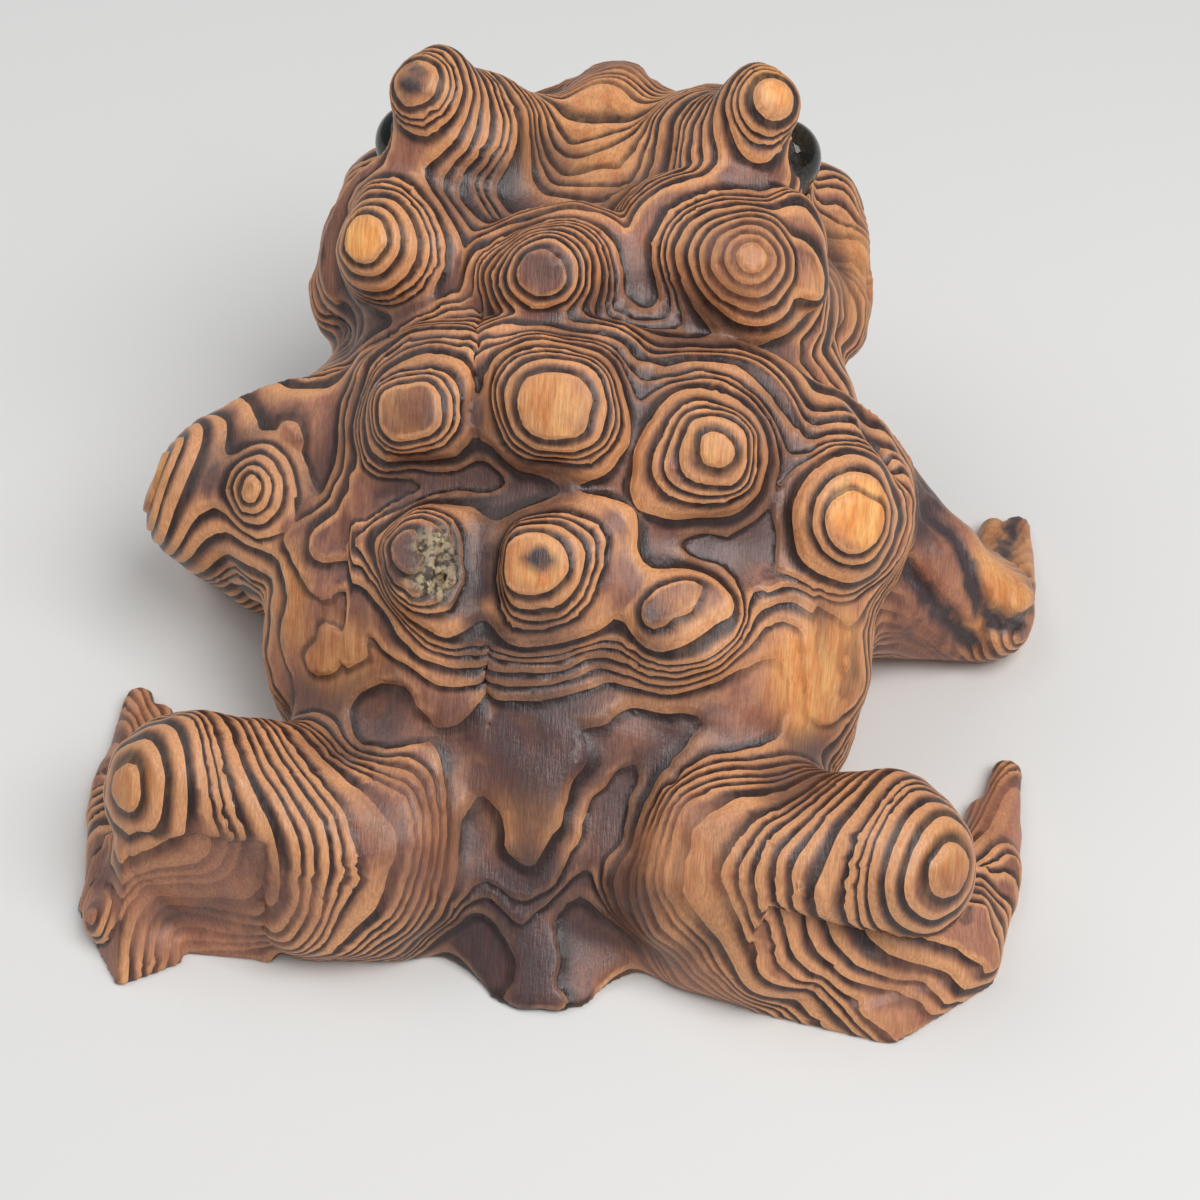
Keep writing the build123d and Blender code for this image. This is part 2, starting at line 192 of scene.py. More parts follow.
# Grooves, and ridges where the depth is negative: their line, half width and depths along it
GROOVES = (
    (((-8.0, -29.0, 19.0), (-8.2, -38.0, 11.0), (-8.4, -47.0, 2.0)), 7.0, (0.3, 1.2, 2.2)),
    (((5.6, -27.0, 20.5), (6.2, -36.0, 12.5), (7.0, -46.0, 2.0)), 7.0, (0.3, 1.2, 2.2)),
    (
        ((-9.2, -9.0, 39.6), (-8.5, -14.0, 36.2), (-7.9, -19.0, 32.0), (-7.4, -28.0, 24.0)),
        4.0,
        (0.0, 1.6, 3.4, 1.4),
    ),
    (((-11.6, -16.0, 35.4), (-11.0, -20.0, 33.0), (-10.6, -24.5, 29.0)), 4.2, (0.4, 2.4, 0.6)),
    (((20.5, 20.0, 45.0), (25.0, 10.0, 42.0), (27.0, 3.0, 38.5)), 3.6, (-2.8, -2.1, -1.4)),
    (((25.5, 22.0, 41.0), (28.8, 10.0, 36.0), (31.0, 0.0, 30.0)), 3.6, (3.0, 2.2, 1.4)),
    (((-26.0, 20.0, 40.0), (-28.0, 12.0, 34.0)), 4.0, (1.6, 0.6)),
)

# Scored lines on the right arm and hand, with their half width and depth, and the dark spots along them
SCORES = (
    ((35.1, -2.0, 16.6), (35.8, -1.4, 14.7), (39.4, -2.4, 10.3), (43.4, -2.1, 4.9)),
    (
        (37.0, 4.5, 19.0), (40.4, 3.4, 16.3), (42.4, 0.5, 12.6), (44.3, -0.9, 8.5), (46.8, -0.6, 7.0),
        (49.5, 1.2, 6.0),
    ),
    ((46.8, 8.7, 7.2), (47.9, 13.9, 4.6), (50.2, 22.2, 2.0)),
)
SCORE_WIDTH = 2.4
SCORE_DEPTH = 1.1
SCORE_SPOTS = (1.4, 1.2)
SCORE_SPOT_GAP = 1.0

# Drying cracks along the back, seen from above, with their half width and depth
CRACKS = (
    (((-10.2, 9.0), (-9.9, -2.0), (-9.7, -9.0)), 0.7, 0.7),
    (((-7.2, -22.0), (-6.4, -30.0)), 0.7, 0.7),
    (((11.5, -30.5), (11.9, -34.5)), 0.6, 0.7),
)
CRACK_HEIGHTS = (18, 52)
CRACK_FADE = 2
CRACK_SWAYS = ((0.25, 1.3), (0.15, 3.1))

# Growth rings seen end on: spot, share of the ring at the middle, how bright the worn wood is and its reach
BULLSEYES = (
    ((-17.9, 27.4, 55.6), 0.55, 0.7, 2.6),
    ((17.9, 27.6, 55.6), 0.40, 1.0, 3.4),
    ((-22.6, 12.2, 46.6), 0.40, 1.0, 4.6),
    ((-3.6, 5.6, 48.7), 0.72, 0.0, 3.0),
    ((17.3, 8.2, 49.0), 0.35, 0.4, 2.4),
    ((-16.1, -8.0, 41.4), 0.66, 0.3, 3.4),
    ((-1.7, -9.2, 43.9), 0.50, 0.6, 4.0),
    ((14.8, -10.4, 40.7), 0.35, 0.6, 3.4),
    ((28.8, -10.2, 32.9), 0.45, 1.0, 4.6),
    ((-2.5, -20.8, 34.2), 0.66, 0.65, 3.8),
    ((12.7, -22.3, 28.6), 0.50, 0.3, 4.0),
    ((-34.0, -5.0, 26.2), 0.30, 0.8, 2.4),
    ((-40.8, -36.6, 18.4), 0.35, 0.6, 4.5),
    ((38.0, -40.4, 18.4), 0.35, 0.7, 4.5),
    ((26.0, -21.3, 19.7), 0.95, 0.8, 7.0),
)
BULLSEYE_TOP = 4
BULLSEYE_REACH = 5.5
BULLSEYE_CALM = (2.5, 8.0)

# Pale worn patches, dark patches that are partly stains and partly painted shade, and the bark that is left:
# middle, reach and strength
WORN_PATCHES = (
    ((45.5, 3.0, 10.0), 5.5, 0.7),
    ((48.0, 14.0, 3.0), 8.0, 0.45),
    ((-29.0, -14.0, 20.0), 5.0, 0.5),
    ((-21.5, -23.0, 19.0), 5.5, 0.4),
    ((-44.0, 1.0, 21.0), 3.0, 0.7),
    ((31.0, 26.0, 33.0), 7.0, 0.5),
    ((25.0, 10.0, 42.5), 5.0, 0.45),
    ((-2.0, -36.5, 14.5), 5.0, 0.35),
    ((0.0, 34.0, 45.0), 11.0, 0.50),
    ((16.0, -42.0, 12.0), 8.0, 0.3),
)
# Dark patches, partly stains and partly painted shade: in the creases between warts and on the shaded faces
# of the thighs the darkening is painted shade
STAINS_AND_SHADE = (
    ((-2.2, -20.8, 34.2), 1.7, 1.2),
    ((-18.2, 27.2, 55.2), 2.0, 1.3),
    ((-3.6, 5.6, 48.7), 2.4, 0.7),
    ((-15.2, -8.2, 41.4), 3.0, 0.55),
    ((8.6, -23.2, 27.5), 3.0, 0.8),
    ((-2.0, -31.0, 21.0), 12.0, 1.0),
    ((8.0, -29.0, 23.0), 7.0, 0.6),
    ((-2.0, -25.5, 24.0), 7.5, 0.85),
    ((-9.0, -20.0, 30.0), 3.6, 1.0),
    ((-3.0, -46.0, 5.0), 12.0, 1.0),
    ((8.0, -41.0, 8.0), 6.0, 0.8),
    ((-14.0, -42.0, 12.0), 6.0, 0.4),
    ((-7.8, -18.0, 32.0), 3.5, 1.0),
    ((-7.5, -24.0, 27.5), 3.5, 1.0),
    ((-16.0, -20.5, 31.5), 2.6, 0.9),
    ((-10.8, -19.0, 32.0), 3.4, 1.0),
    ((35.8, 4.6, 19.8), 5.5, 1.0),
    ((-12.4, -20.4, 32.4), 5.5, 0.9),
    ((-27.0, 25.0, 36.0), 8.0, 0.6),
    ((4.5, -1.0, 42.0), 3.5, 0.7),
    ((-18.0, 2.0, 41.0), 6.0, 0.45),
    ((-27.0, -6.0, 24.0), 4.0, 0.7),
    ((-36.0, -1.0, 24.0), 8.0, 0.35),
    ((-29.0, -38.0, 17.0), 15.0, 0.25),
    ((29.0, -40.0, 17.0), 15.0, 0.2),
)
BARK_SPOTS = (
    ((-11.9, -18.6, 33.4), 2.2, 1.0),
    ((-11.8, -21.4, 31.6), 2.4, 1.0),
)

# Freshly chiselled faces where the rings hardly show: middle, reach and strength
PLAIN_FACES = (
    ((-33.0, -43.6, 7.0), 9.0, 0.9),
    ((31.5, 25.0, 33.0), 9.0, 0.8),
    ((0.5, 45.5, 43.0), 5.0, 0.7),
    ((0.0, 21.0, 47.0), 8.0, 0.25),
    ((-12.5, -40.5, 17.0), 7.0, 0.75),
    ((12.5, -43.0, 15.5), 7.0, 0.75),
    ((14.0, -46.0, 5.0), 7.0, 0.7),
    ((10.5, -40.5, 14.5), 5.0, 0.8),
    ((8.5, -42.0, 10.5), 4.5, 0.8),
    ((-11.5, -40.5, 11.5), 5.0, 0.8),
    ((17.3, 8.2, 49.0), 5.0, 0.5),
    ((26.0, -21.3, 19.7), 7.5, 0.8),
    ((42.0, 1.5, 10.5), 11.0, 1.0),
    ((48.0, 14.0, 3.0), 10.0, 0.85),
    ((47.0, -22.0, 2.0), 6.0, 0.7),
    ((-47.0, -18.0, 2.0), 6.0, 0.6),
    ((36.0, -48.0, 2.0), 5.0, 0.5),
)

# Mouth slit, nostrils and eye sockets
MOUTH_HEIGHT = 32.2
MOUTH_CORNER = 24.0
MOUTH_FADE = 2
MOUTH_DEPTH = 1.4
MOUTH_GAPE = 1.0
NOSTRIL = (3.3, 48.6, 41.5)
NOSTRIL_WAY = (0.0, -0.5, 0.3)
NOSTRIL_RADIUS = 1.3
NOSTRIL_DEPTH = 1.3
EYE_MOUND = (14.0, 29.8, 42.7)
EYE_AXIS = (0.93, 0.15, 0.33)
SOCKET_FLOOR = 6.2
SOCKET_RADIUS = 4.75
SOCKET_LENGTH = 7

# Where the grain turns: middle, reach and change of ring way
GRAIN_TURNS = (
    ((-32.0, -34.0, 18.0), 14.0, (-0.14, 0.30, -0.30)),
    ((31.0, -36.0, 18.0), 14.0, (0.14, 0.30, -0.30)),
    ((26.0, -21.3, 19.7), 9.0, (0.29, 0.28, -0.21)),
    ((-34.0, -45.0, 6.0), 9.0, (0.62, 0.32, 0.22)),
    ((35.0, -46.0, 6.0), 9.0, (-0.15, 0.35, 0.25)),
    ((-18.0, -28.0, 20.0), 10.0, (0.12, 0.10, 0.10)),
    ((0.0, 31.0, 45.0), 18.0, (0.0, 0.32, 0.0)),
    ((-39.0, -0.5, 22.0), 13.0, (0.18, 0.62, -0.48)),
    ((25.0, 11.0, 38.0), 13.0, (-0.20, 0.34, -0.20)),
    ((46.0, -24.0, 1.0), 9.0, (0.0, 0.40, 0.0)),
    ((-46.0, -22.0, 1.0), 9.0, (0.0, 0.40, 0.0)),
)

# Where the rings rise to a wart or ridge, or dip, more than the grain does: middle, reach and rise
RING_RISES = (
    ((-34.0, -5.0, 26.2), 5.0, 3.6),
    ((-17.5, -30.0, 15.0), 4.5, -1.0),
    ((-2.0, -39.0, 10.5), 5.0, 1.0),
    ((-1.0, -43.5, 5.5), 5.0, 0.7),
    ((-8.6, -37.5, 11.5), 5.0, -0.4),
    ((6.2, -36.0, 12.5), 5.0, -0.3),
    ((4.0, -43.1, 3.6), 3.0, 0.3),
)

# Where the rings dive under the back towards the rump: middle, half width, length, share of it before
# the dive, fall and reach sideways
DOWN_BACK = np.array((0.0, -0.74, -0.67))
RING_DIVES = (
    ((2.0, -17.5, 32.0), 26.0, 18.0, 0.33, 5.2, 34.0),
    ((-1.0, -33.0, 17.0), 40.0, 17.0, 0.08, 1.8, 15.0),
)

# Pith line of the log, under the back, and the growth rings round it
PITH_POINT = np.array((0.0, 38.0, -13.4))
PITH_WAY = np.array((0.0, 0.766, 0.643))
RING_PITCH = 1.05
PITH_STRETCH = 0.6
GRADIENT_STEP = 0.25

# Wavering of the rings: strength, size and seed; and thick and thin years: swing, number of rings and phase
RING_WAVER = ((0.5, 16.0, 3), (0.12, 5.0, 4))
RING_FRAY = ((0.02, 1.5, 5),)
RING_YEARS = ((0.30, 5.3, 0), (0.20, 3.1, 1))

# Terraces: their height in ring widths, the level that stays put, how far they follow the rings instead of
# the surface, the heights above ground between which they begin, and the riser of each, as a width, with its
# least and greatest share of a ring
TERRACE = 0.5
TERRACE_LEVEL = 0.4
TERRACE_LEAN = 0.75
TERRACE_HEIGHTS = (0.2, 2.0)
RISER_WIDTH = 0.30
RISER_SHARES = (0.03, 0.25)

# Unevenness left by the carver's hand, its fine grain and the crumbs of the bark: strength, size and seed
HAND_WAVES = ((0.6, 8.0, 11), (0.14, 3.6, 12))
HAND_GRAIN = ((0.05, 1.6, 13),)
BARK_CRUMBS = ((0.5, 0.9, 14), (0.4, 2.0, 15))
BARK_SINK = 0.4
PATCH_SEED = 21
# Blur of the block that finds the hollows which are darkened with painted shade
HOLLOW_BLUR = 2.2

# Colours of the wood
DULL_BROWN = (0.185, 0.070, 0.050, 1)
BROWN = (0.42, 0.165, 0.095, 1)
PALE_BROWN = (0.55, 0.240, 0.130, 1)
ORANGE = (0.88, 0.310, 0.070, 1)
PALE_ORANGE = (1.0, 0.520, 0.170, 1)
# Dark colour for both the stains and the painted shade in hollows and creases
STAIN_AND_SHADE = (0.062, 0.038, 0.042, 1)
PALE_EDGE = (0.80, 0.380, 0.170, 1)
RING_LINE = (0.022, 0.011, 0.010, 1)
BARK = (0.05, 0.032, 0.020, 1)
PALE_BARK = (0.50, 0.40, 0.24, 1)
FIBRE_SHADE = (0.78, 0.76, 0.74, 1)
FIBRE_SHEEN = (1.08, 1.08, 1.08, 1)

# Least and greatest share of a ring that its dark line takes up
LINE_SHARES = (0.06, 0.62)

# The way that the wood fibres run, as turns for the noise that is drawn out along them
FIBRE_TURN = (math.atan2(PITH_WAY[1], PITH_WAY[2]), 0, 0)
NO_TURN = (0, 0, 0)

# Colours of the eyes: glass, and the dark and pale of the iris, the pupil and the pitch
GLASS = (0.16, 0.14, 0.06, 1)
IRIS = ((0.10, 0.072, 0.012, 1), (0.48, 0.33, 0.06, 1))
PUPIL = ((0.004, 0.004, 0.004, 1), (0.012, 0.011, 0.010, 1))
PITCH = ((0.006, 0.005, 0.005, 1), (0.030, 0.024, 0.020, 1))

# Studio, in metres: floor, sky, and the place, size and power of each light
FLOOR_SIZE = 4
FLOOR_COLOUR = (0.75, 0.74, 0.72, 1)
FLOOR_ROUGHNESS = 0.8
SKY_COLOUR = (0.9, 0.95, 1.0, 1)
SKY_STRENGTH = 0.32
LIGHTS = (
    ("key_light", (0.26, -0.18, 0.53), 0.42, 2.9),
    ("fill_light", (-0.35, 0.12, 0.5), 0.5, 1.0),
)

# Camera: what it looks at and how far off, its angles in degrees, and half its sensor in millimetres
VIEW_TARGET = (3.4, -14.0, 22.0)
VIEW_DISTANCE = 245
VIEW_AZIMUTH = 4
VIEW_ELEVATION = 47
VIEW_HALF_ANGLE = 14
HALF_SENSOR = 18


def axis_values(axis):
    """Grid positions along one axis of the block."""
    count = int(round((BLOCK_HIGH[axis] - BLOCK_LOW[axis]) / CELL)) + 1
    return (BLOCK_LOW[axis] + CELL * np.arange(count)).astype(np.float32)


block_axes = [axis_values(axis) for axis in range(3)]
across, along, up = np.ix_(*block_axes)


def ease(low, high, value):
    """0 below low, 1 above high and a smooth climb between."""
    share = np.clip((value - low) / (high - low), 0, 1)
    return share * share * (3 - 2 * share)


def near(points, reach):
    """Slices of the block within reach of some points."""
    points = np.asarray(points, dtype=np.float32)
    low = np.maximum(((points.min(0) - reach - BLOCK_LOW) / CELL).astype(int), 0)
    high = ((points.max(0) + reach - BLOCK_LOW) / CELL).astype(int) + 2
    return tuple(slice(a, b) for a, b in zip(low, high))


def places(part):
    """The three position arrays of a part of the block."""
    return across[part[0], :, :], along[:, part[1], :], up[:, :, part[2]]


def measure(part, point, way):
    """How far each cell of a part of the block lies from a point, along a way."""
    x, y, z = places(part)
    return (x - point[0]) * way[0] + (y - point[1]) * way[1] + (z - point[2]) * way[2]


def melt(block, part, other, soft):
    """Joins a shape to the block with a fillet."""
    mine = block[part]
    share = np.clip(0.5 + 0.5 * (mine - other) / soft, 0, 1)
    block[part] = mine * (1 - share) + other * share - soft * share * (1 - share)


def pill(part, root, tip, root_radius, tip_radius):
    """Distance to a round-ended bar whose radius changes evenly."""
    x, y, z = places(part)
    way = np.subtract(tip, root)
    share = np.clip(measure(part, root, way) / way.dot(way), 0, 1)
    gap = (x - root[0] - share * way[0]) ** 2
    gap = gap + (y - root[1] - share * way[1]) ** 2 + (z - root[2] - share * way[2]) ** 2
    return np.sqrt(gap) - root_radius - share * (tip_radius - root_radius)


def on_side(point, side):
    """A point drawn for the right side, or its mirror image where side is -1."""
    return side * point[0], point[1], point[2]


def add_pill(block, root, tip, root_radius, tip_radius, soft):
    """Melts a round-ended bar into the block."""
    part = near((root, tip), max(root_radius, tip_radius) + soft + 1)
    melt(block, part, pill(part, root, tip, root_radius, tip_radius), soft)


def ring_way(point):
    """The way out from the pith at a point."""
    rel = np.asarray(point) - PITH_POINT
    out = rel - PITH_WAY * rel.dot(PITH_WAY)
    return out / np.linalg.norm(out)


def swell(block, top, wide, long, crown, square, trail):
    """Raises a wart, an oval mound with a domed crown and sloping sides, square to the rings."""
    way = ring_way(top)
    side = np.cross((0.0, 1.0, 0.0), way)
    side = side / np.linalg.norm(side)
    fore = np.cross(way, side)
    height = float(sample(block, np.array([top]))[0]) + WART_FOOT
    part = near((top,), max(wide, long * trail) + 4)
    u = abs(measure(part, top, side)) / wide
    v = measure(part, top, fore) / long
    spare = (trail - 1) * ease(crown, 1.2, np.hypot(u, v))
    v = np.where(v < 0, -v / (1 + spare), v)
    reach = (u ** square + v ** square) ** (1 / square)
    drop = (1 - WART_DOME) * ease(crown, 1, reach) + WART_DOME * (np.sqrt(reach * reach + 0.015) - 0.12)
    drop = drop + 2 * np.maximum(reach - 1, 0)
    lean = math.hypot(1, 1.2 * height / wide)
    melt(block, part, (measure(part, top, way) + height * drop) / lean, WART_BLEND)


def gouge(block, line, half_width, depths):
    """Runs a round groove along a line of points, with a depth at each."""
    part = near(line, half_width + 1)
    gaps, steps = [], []
    for root, tip, low, high in zip(line[:-1], line[1:], depths[:-1], depths[1:]):
        way = np.subtract(tip, root)
        share = np.clip(measure(part, root, way) / way.dot(way), 0, 1)
        gaps.append(pill(part, root, tip, 0, 0))
        steps.append(low + share * (high - low))
    nearest = np.argmin(gaps, axis=0)[None]
    gap = np.take_along_axis(np.array(gaps), nearest, 0)[0]
    depth = np.take_along_axis(np.array(steps), nearest, 0)[0]
    block[part] += depth * (1 - ease(0, half_width, gap))


def split(block, line, half_width, depth):
    """Opens a narrow crack along a line drawn over the top of the block."""
    line = np.array(line)
    part = near([(x, y, z) for x, y in line for z in CRACK_HEIGHTS], 3)
    x, y, _ = places(part)
    first, last = line[:, 1].max(), line[:, 1].min()
    middle = np.interp(-y, -line[:, 1], line[:, 0])
    for sway, rate in CRACK_SWAYS:
        middle = middle + sway * np.sin(rate * y)
    length = ease(last, last + CRACK_FADE, y) * (1 - ease(first - CRACK_FADE, first, y))
    block[part] += depth * length * (1 - ease(0, half_width, abs(x - middle)))


def socket(block, side):
    """Bores the round recess that an eye is bedded in."""
    way = np.multiply(EYE_AXIS, (side, 1, 1)) / np.linalg.norm(EYE_AXIS)
    floor = np.multiply(EYE_MOUND, (side, 1, 1)) + SOCKET_FLOOR * way
    part = near((floor, floor + SOCKET_LENGTH * way), SOCKET_RADIUS + 1)
    x, y, z = (values - base for values, base in zip(places(part), floor))
    t = measure(part, floor, way)
    gap = np.sqrt(np.maximum(x * x + y * y + z * z - t * t, 0)) - SOCKET_RADIUS
    block[part] = np.maximum(block[part], -np.maximum(gap, -t))


def beyond(part, point, way):
    """Distance past a plane through a point, along the way that it faces."""
    return measure(part, point, np.asarray(way, dtype=np.float32) / np.linalg.norm(way))


def facing_of(a, b, c):
    """The way that the plane through three points faces, counted anticlockwise from outside."""
    return np.cross(np.subtract(b, a), np.subtract(c, a))


def add_hewn(block, corners, soft):
    """Joins on a flat-faced lump, the hull of its corners."""
    corners = np.array(corners)
    part = near(corners, soft + 1)
    lump = None
    for a in range(len(corners)):
        for b in range(a):
            for c in range(b):
                way = facing_of(corners[a], corners[b], corners[c])
                size = np.linalg.norm(way)
                if size < 1e-6:
                    continue
                gaps = (corners - corners[a]) @ way / size
                if gaps.min() < -1e-3 and gaps.max() > 1e-3:
                    continue
                face = beyond(part, corners[a], way if gaps.max() <= 1e-3 else -way)
                lump = face if lump is None else np.maximum(lump, face)
    melt(block, part, lump, soft)


def notch(block, box, planes, soft):
    """Chisels away what lies beyond all of some planes, within a box."""
    part = near(box, 1)
    chips = None
    for point, way in planes:
        gap = -beyond(part, point, way)
        chips = gap if chips is None else np.maximum(chips, gap)
    mine = block[part]
    share = np.clip(0.5 + 0.5 * (-chips - mine) / soft, 0, 1)
    block[part] = mine * (1 - share) - chips * share + soft * share * (1 - share)


def trunk_block():
    """Distance to the trunk and head, from their cross-sections."""
    rows = np.array(TRUNK_ROWS)
    stations = block_axes[1]
    cells = np.arange(-PROFILE_CELLS, PROFILE_CELLS + 1)
    kernel = np.exp(-0.5 * (cells * CELL / PROFILE_SOFTNESS) ** 2)
    kernel /= kernel.sum()
    profiles = []
    for column in range(1, 5):
        drawn = np.interp(stations, rows[:, 0], rows[:, column])
        padded = np.pad(drawn, PROFILE_CELLS, mode="edge")
        profiles.append(np.convolve(padded, kernel, mode="valid")[None, :, None])
    half, under, widest, back = profiles
    past = np.maximum(rows[0, 0] - along, along - rows[-1, 0])
    half = np.maximum(half * (1 - ease(-1, 1, past)), 0.3)
    rise = up - widest
    upper = (abs(across) / half) ** (2 / BACK_ROUNDNESS)
    upper = upper + (abs(rise) / (back - widest)) ** (2 / BACK_ROUNDNESS)
    lower = (abs(across) / half) ** (2 / BELLY_ROUNDNESS)
    lower = lower + (abs(rise) / (widest - under)) ** (2 / BELLY_ROUNDNESS)
    level = np.where(rise > 0, upper ** (BACK_ROUNDNESS / 2), lower ** (BELLY_ROUNDNESS / 2)) - 1
    level = np.maximum(level, past / 3)
    level = np.minimum(level, 3).astype(np.float32)
    slopes = np.gradient(level, CELL)
    steep = np.sqrt(sum(slope * slope for slope in slopes))
    return np.clip(level / np.maximum(steep, 0.012), -FAR * 2, FAR * 2)


def carve_block():
    """The whole toad as distances on the block's grid."""
    block = trunk_block()
    for root, tip, root_radius, tip_radius, soft in LIMBS:
        add_pill(block, root, tip, root_radius, tip_radius, soft)
    for root, tip in DIGITS:
        add_pill(block, root, tip, DIGIT_ROOT, DIGIT_TIP, DIGIT_BLEND)
    for corners in HEWN:
        add_hewn(block, corners, HEWN_BLEND)
    for side in (-1, 1):
        for root, tip, *sizes in HEAD_LUMPS:
            add_pill(block, on_side(root, side), on_side(tip, side), *sizes)
    add_pill(block, *SNOUT_LUMP)
    for wart in WARTS:
        swell(block, *wart)
    for groove in GROOVES:
        gouge(block, *groove)
    for line in SCORES:
        gouge(block, line, SCORE_WIDTH, len(line) * (SCORE_DEPTH,))
    for crack in CRACKS:
        split(block, *crack)
    for box, face, planes in CHIPS:
        notch(block, box, ((face[0], facing_of(*face)), *planes), CHIP_BLEND)
    lips = ease(MOUTH_CORNER - MOUTH_FADE, MOUTH_CORNER + MOUTH_FADE, along)
    block += MOUTH_DEPTH * (lips * (1 - ease(0, MOUTH_GAPE, abs(up - MOUTH_HEIGHT))))
    for side in (-1, 1):
        spot = np.multiply(NOSTRIL, (side, 1, 1))
        gouge(block, (spot, spot + NOSTRIL_WAY), NOSTRIL_RADIUS, (NOSTRIL_DEPTH, NOSTRIL_DEPTH))
        socket(block, side)
    snout = near((SNOUT_TIP,), SNOUT_REACH)
    block[snout] = box_blur(block[snout], SNOUT_BLUR)
    return np.maximum(block, -up)


def box_blur(values, reach):
    """Mean of the values within reach along each axis."""
    cells = int(round(reach / CELL))
    for axis in range(3):
        padded = np.pad(values, [(cells + 1, cells) if a == axis else (0, 0) for a in range(3)], mode="edge")
        total = np.cumsum(padded, axis=axis, dtype=np.float64)
        width = 2 * cells + 1
        size = values.shape[axis]
        ahead = np.take(total, range(width, width + size), axis=axis)
        behind = np.take(total, range(0, size), axis=axis)
        values = ((ahead - behind) / width).astype(np.float32)
    return values


def sample(values, points):
    """Values of a grid at some points, blended from the cells round them."""
    spot = (points - BLOCK_LOW) / CELL
    base = np.clip(np.floor(spot).astype(int), 0, np.array(values.shape) - 2)
    rest = spot - base
    total = 0
    for dx in (0, 1):
        for dy in (0, 1):
            for dz in (0, 1):
                weight = abs(1 - dx - rest[:, 0]) * abs(1 - dy - rest[:, 1]) * abs(1 - dz - rest[:, 2])
                total = total + weight * values[base[:, 0] + dx, base[:, 1] + dy, base[:, 2] + dz]
    return total


def ripple(points, size, seed):
    """Smooth noise, mostly between -1 and 1, whose lumps are about size across."""
    chance = np.random.default_rng(seed)
    total = 0
    for _ in range(14):
        way = chance.normal(size=3)
        way *= np.pi / size * chance.uniform(0.6, 1.5) / np.linalg.norm(way)
        total = total + np.sin(points @ way + chance.uniform(0, 2 * np.pi))
    return total / 4


def ripples(points, waves):
    """Sum of smooth noises, each given by its strength, size and seed."""
    return sum(strength * ripple(points, size, seed) for strength, size, seed in waves)


def ring_depth(points):
    """How far each point lies from the pith, counted along the grain's turns."""
    rel = points - PITH_POINT
    depth = np.linalg.norm(rel - (rel @ PITH_WAY)[:, None] * PITH_WAY, axis=1)
    for middle, reach, change in GRAIN_TURNS:
        rel = points - np.array(middle)
        depth = depth + np.exp(-np.sum(rel * rel, 1) / reach ** 2) * (rel @ np.array(change))
    for middle, reach, rise in RING_RISES:
        rel = points - np.array(middle)
        depth = depth + rise * np.exp(-np.sum(rel * rel, 1) / reach ** 2)
    for middle, wide, length, start, fall, reach in RING_DIVES:
        rel = points - np.array(middle)
        down = np.maximum(rel @ DOWN_BACK, 0)
        dive = ease(start, 1, np.hypot(rel[:, 0] / wide, down / length)) * ease(-2, 7, rel @ DOWN_BACK)
        depth = depth - fall * dive * np.exp(-(rel[:, 0] / reach) ** 2)
    return depth


def ring_ways(points):
    """The way out across the growth rings at each point."""
    shifts = GRADIENT_STEP * np.eye(3)
    way = np.stack([ring_depth(points + shift) - ring_depth(points - shift) for shift in shifts], 1)
    return way / np.linalg.norm(way, axis=1)[:, None]


def ring_count(points):
    """How many growth rings lie between the pith and each point."""
    lengthwise = ((points - PITH_POINT) @ PITH_WAY)[:, None]
    stretched = points - PITH_STRETCH * lengthwise * PITH_WAY - PITH_POINT
    waver = ripples(stretched, RING_WAVER) * (0.2 + 0.8 * calm(points))
    count = (ring_depth(points) + waver + ripples(stretched, RING_FRAY)) / RING_PITCH
    for swing, years, phase in RING_YEARS:
        count = count + swing * np.sin(2 * np.pi * count / years + phase)
    for spot, wanted, _, _ in BULLSEYES:
        gap = np.linalg.norm(points - np.array(spot), axis=1)
        top = count[gap < BULLSEYE_TOP].max()
        shift = (wanted - top + 0.5) % 1 - 0.5
        count = count + shift * np.exp(-(gap / BULLSEYE_REACH) ** 2)
    return count


def calm(points):
    """0 at the middle of every ring pattern seen end on, 1 away from them."""
    share = np.ones(len(points))
    for spot, _, _, _ in BULLSEYES:
        gap = np.linalg.norm(points - np.array(spot), axis=1)
        share = np.minimum(share, ease(*BULLSEYE_CALM, gap))
    return share


def hand_sway(points):
    """How far the carver's hand left the surface uneven."""
    uneven = ripples(points, HAND_WAVES) * (0.15 + 0.85 * calm(points)) + ripples(points, HAND_GRAIN)
    crumbs = ripples(points, BARK_CRUMBS) - BARK_SINK
    return ease(1.0, 5.0, points[:, 2]) * uneven + patches(points, BARK_SPOTS) * crumbs


def beads(line, spacing):
    """Points spaced along a line."""
    line = np.array(line)
    way = np.concatenate(((0,), np.cumsum(np.linalg.norm(np.diff(line, axis=0), axis=1))))
    stops = np.arange(0, way[-1], spacing)
    return np.stack([np.interp(stops, way, line[:, axis]) for axis in range(3)], 1)


def patches(points, spots):
    """Strength of some round patches at each point."""
    total = np.zeros(len(points))
    for spot, reach, strength in spots:
        gap = np.linalg.norm(points - np.array(spot), axis=1)
        gap = gap + 0.25 * reach * ripple(points, 0.7 * reach, PATCH_SEED)
        total = np.maximum(total, strength * (1 - ease(0.4 * reach, 1.4 * reach, gap)))
    return total


